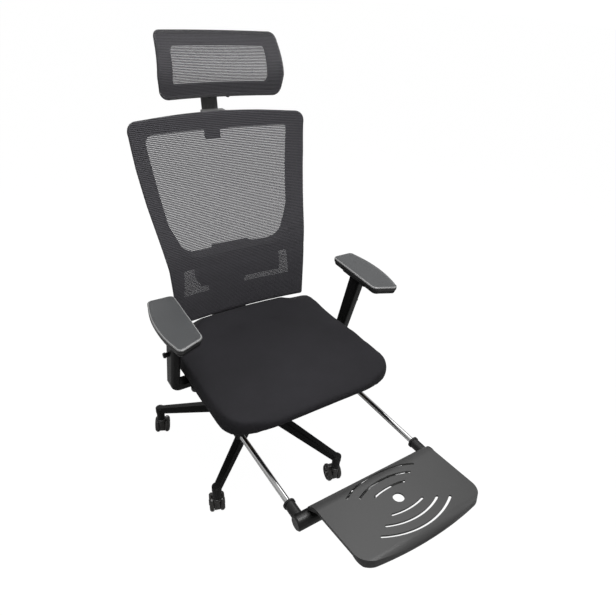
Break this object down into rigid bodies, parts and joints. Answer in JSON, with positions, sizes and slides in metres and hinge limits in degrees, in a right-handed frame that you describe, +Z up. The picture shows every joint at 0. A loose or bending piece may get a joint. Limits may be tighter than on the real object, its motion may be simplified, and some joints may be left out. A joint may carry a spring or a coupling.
{
  "type": "reclining office chair with footrest",
  "caption": "Reclining mesh-back office chair with headrest, height-adjustable armrests, star base on casters and a slide-out footrest.",
  "frame": {"origin": "on the floor, centred under the gas lift's axis", "axes": "+Z up; the sitter faces -Y; +X is the sitter's left"},
  "size_m": [0.6813, 1.1015, 1.2055],
  "materials": {
    "black_plastic": "matte",
    "caster_plastic": "satin",
    "dark_steel": "satin",
    "zinc_steel": "satin",
    "bush_plastic": "matte",
    "chrome_tube": "polished",
    "elbow_plastic": "satin",
    "grey_plastic": "satin",
    "plywood": "matte",
    "seat_fabric": "matte",
    "charcoal_plastic": "satin",
    "mesh_cloth": "matte",
    "light_grey_plastic": "satin"
  },
  "bodies": {
    "base": {"star_base": "black_plastic", "lift_stand_tube": "dark_steel", "lift_guide_bush": "bush_plastic", "column_cover_lower": "black_plastic"},
    "caster_fork_1": {"caster_hood_1": "caster_plastic", "caster_stem_1": "zinc_steel"},
    "caster_roller_1": {"caster_axle_1": "zinc_steel", "caster_wheels_1": "caster_plastic"},
    "caster_fork_2": {"caster_hood_2": "caster_plastic", "caster_stem_2": "zinc_steel"},
    "caster_roller_2": {"caster_axle_2": "zinc_steel", "caster_wheels_2": "caster_plastic"},
    "caster_fork_3": {"caster_hood_3": "caster_plastic", "caster_stem_3": "zinc_steel"},
    "caster_roller_3": {"caster_axle_3": "zinc_steel", "caster_wheels_3": "caster_plastic"},
    "caster_fork_4": {"caster_hood_4": "caster_plastic", "caster_stem_4": "zinc_steel"},
    "caster_roller_4": {"caster_axle_4": "zinc_steel", "caster_wheels_4": "caster_plastic"},
    "caster_fork_5": {"caster_hood_5": "caster_plastic", "caster_stem_5": "zinc_steel"},
    "caster_roller_5": {"caster_axle_5": "zinc_steel", "caster_wheels_5": "caster_plastic"},
    "lift_rod": {"lift_piston_rod": "zinc_steel"},
    "seat": {"lift_pressure_tube": "dark_steel", "column_cover_upper": "black_plastic", "tilt_housing": "dark_steel", "recline_pin": "zinc_steel", "seat_pan": "plywood", "seat_bolts": "zinc_steel", "seat_cushion": "seat_fabric", "footrest_rail_left": "black_plastic", "footrest_rail_right": "black_plastic", "arm_bracket_left": "black_plastic", "arm_bracket_right": "black_plastic"},
    "back": {"back_support_bar": "black_plastic", "back_frame": "charcoal_plastic", "back_mesh": "mesh_cloth", "back_bolts": "zinc_steel", "headrest_bracket": "light_grey_plastic"},
    "headrest_post": {"headrest_post": "black_plastic", "headrest_pin": "zinc_steel"},
    "headrest": {"headrest_frame": "charcoal_plastic", "headrest_mesh": "mesh_cloth"},
    "arm_left": {"arm_post_left": "black_plastic", "arm_pad_left": "grey_plastic"},
    "arm_button_left": {"arm_button_left": "black_plastic"},
    "arm_right": {"arm_post_right": "black_plastic", "arm_pad_right": "grey_plastic"},
    "arm_button_right": {"arm_button_right": "black_plastic"},
    "footrest": {"footrest_tube_left": "chrome_tube", "footrest_tube_right": "chrome_tube", "footrest_elbow_left": "elbow_plastic", "footrest_elbow_right": "elbow_plastic", "footrest_axle": "chrome_tube"},
    "footrest_plate": {"footrest_plate": "grey_plastic"},
    "lift_lever": {"lift_lever": "dark_steel"},
    "tilt_lever": {"tilt_lever": "dark_steel"},
    "tension_knob": {"tension_knob": "black_plastic"}
  },
  "joints": [
    {"name": "caster_swivel_1", "type": "hinge", "parent": "base", "child": "caster_fork_1", "pos_m": [0.31421, 0.03358, 0.075], "axis": [0, 0, 1], "continuous": true},
    {"name": "caster_roll_1", "type": "hinge", "parent": "caster_fork_1", "child": "caster_roller_1", "pos_m": [0.32171, 0.04657, 0.027], "axis": [0.866, -0.5, 0], "continuous": true},
    {"name": "caster_swivel_2", "type": "hinge", "parent": "base", "child": "caster_fork_2", "pos_m": [0.06516, 0.30921, 0.075], "axis": [0, 0, 1], "continuous": true},
    {"name": "caster_roll_2", "type": "hinge", "parent": "caster_fork_2", "child": "caster_roller_2", "pos_m": [0.0748, 0.3207, 0.027], "axis": [0.766, -0.6428, 0], "continuous": true},
    {"name": "caster_swivel_3", "type": "hinge", "parent": "base", "child": "caster_fork_3", "pos_m": [-0.27394, 0.15752, 0.075], "axis": [0, 0, 1], "continuous": true},
    {"name": "caster_roll_3", "type": "hinge", "parent": "caster_fork_3", "child": "caster_roller_3", "pos_m": [-0.26784, 0.17123, 0.027], "axis": [0.9135, -0.4067, 0], "continuous": true},
    {"name": "caster_swivel_4", "type": "hinge", "parent": "base", "child": "caster_fork_4", "pos_m": [-0.23446, -0.21185, 0.075], "axis": [0, 0, 1], "continuous": true},
    {"name": "caster_roll_4", "type": "hinge", "parent": "caster_fork_4", "child": "caster_roller_4", "pos_m": [-0.22983, -0.19759, 0.027], "axis": [0.9511, -0.309, 0], "continuous": true},
    {"name": "caster_swivel_5", "type": "hinge", "parent": "base", "child": "caster_fork_5", "pos_m": [0.12903, -0.28846, 0.075], "axis": [0, 0, 1], "continuous": true},
    {"name": "caster_roll_5", "type": "hinge", "parent": "caster_fork_5", "child": "caster_roller_5", "pos_m": [0.13215, -0.27378, 0.027], "axis": [0.9781, -0.2079, 0], "continuous": true},
    {"name": "seat_swivel", "type": "hinge", "parent": "base", "child": "lift_rod", "pos_m": [0, 0, 0.1], "axis": [0, 0, 1], "continuous": true},
    {"name": "gas_lift", "type": "slide", "parent": "lift_rod", "child": "seat", "axis": [0, 0, 1], "range_m": [-0.05, 0.04]},
    {"name": "back_recline", "type": "hinge", "parent": "seat", "child": "back", "pos_m": [0, 0.09381, 0.35037], "axis": [-1, 0, 0], "range_deg": [0, 31]},
    {"name": "headrest_height", "type": "slide", "parent": "back", "child": "headrest_post", "axis": [0, 0.1857, 0.9826], "range_m": [-0.02, 0.04]},
    {"name": "headrest_tilt", "type": "hinge", "parent": "headrest_post", "child": "headrest", "pos_m": [0, 0.31693, 1.058], "axis": [1, 0, 0], "range_deg": [-20, 10]},
    {"name": "arm_height_left", "type": "slide", "parent": "seat", "child": "arm_left", "axis": [0, -0.2147, 0.9767], "range_m": [0, 0.07]},
    {"name": "arm_button_left", "type": "slide", "parent": "seat", "child": "arm_button_left", "axis": [-1, 0, 0], "range_m": [0, 0.003], "stiffness_N_per_m": 200},
    {"name": "arm_height_right", "type": "slide", "parent": "seat", "child": "arm_right", "axis": [0, -0.2147, 0.9767], "range_m": [0, 0.07]},
    {"name": "arm_button_right", "type": "slide", "parent": "seat", "child": "arm_button_right", "axis": [1, 0, 0], "range_m": [0, 0.003], "stiffness_N_per_m": 200},
    {"name": "footrest_slide", "type": "slide", "parent": "seat", "child": "footrest", "axis": [0, -0.9976, 0.0698], "range_m": [-0.235, 0]},
    {"name": "footrest_flip", "type": "hinge", "parent": "footrest", "child": "footrest_plate", "pos_m": [0, -0.55628, 0.37177], "axis": [-1, 0, 0], "range_deg": [-180, 0]},
    {"name": "lift_lever", "type": "hinge", "parent": "seat", "child": "lift_lever", "pos_m": [0, -0.06338, 0.36738], "axis": [1, 0, 0], "range_deg": [0, 6], "stiffness_Nm_per_rad": 1},
    {"name": "tilt_lever", "type": "hinge", "parent": "seat", "child": "tilt_lever", "pos_m": [0, -0.06338, 0.36738], "axis": [1, 0, 0], "range_deg": [0, 6], "stiffness_Nm_per_rad": 1},
    {"name": "tension_knob", "type": "hinge", "parent": "seat", "child": "tension_knob", "pos_m": [0, -0.14347, 0.36897], "axis": [0, 0.9976, -0.0698], "continuous": true}
  ]
}
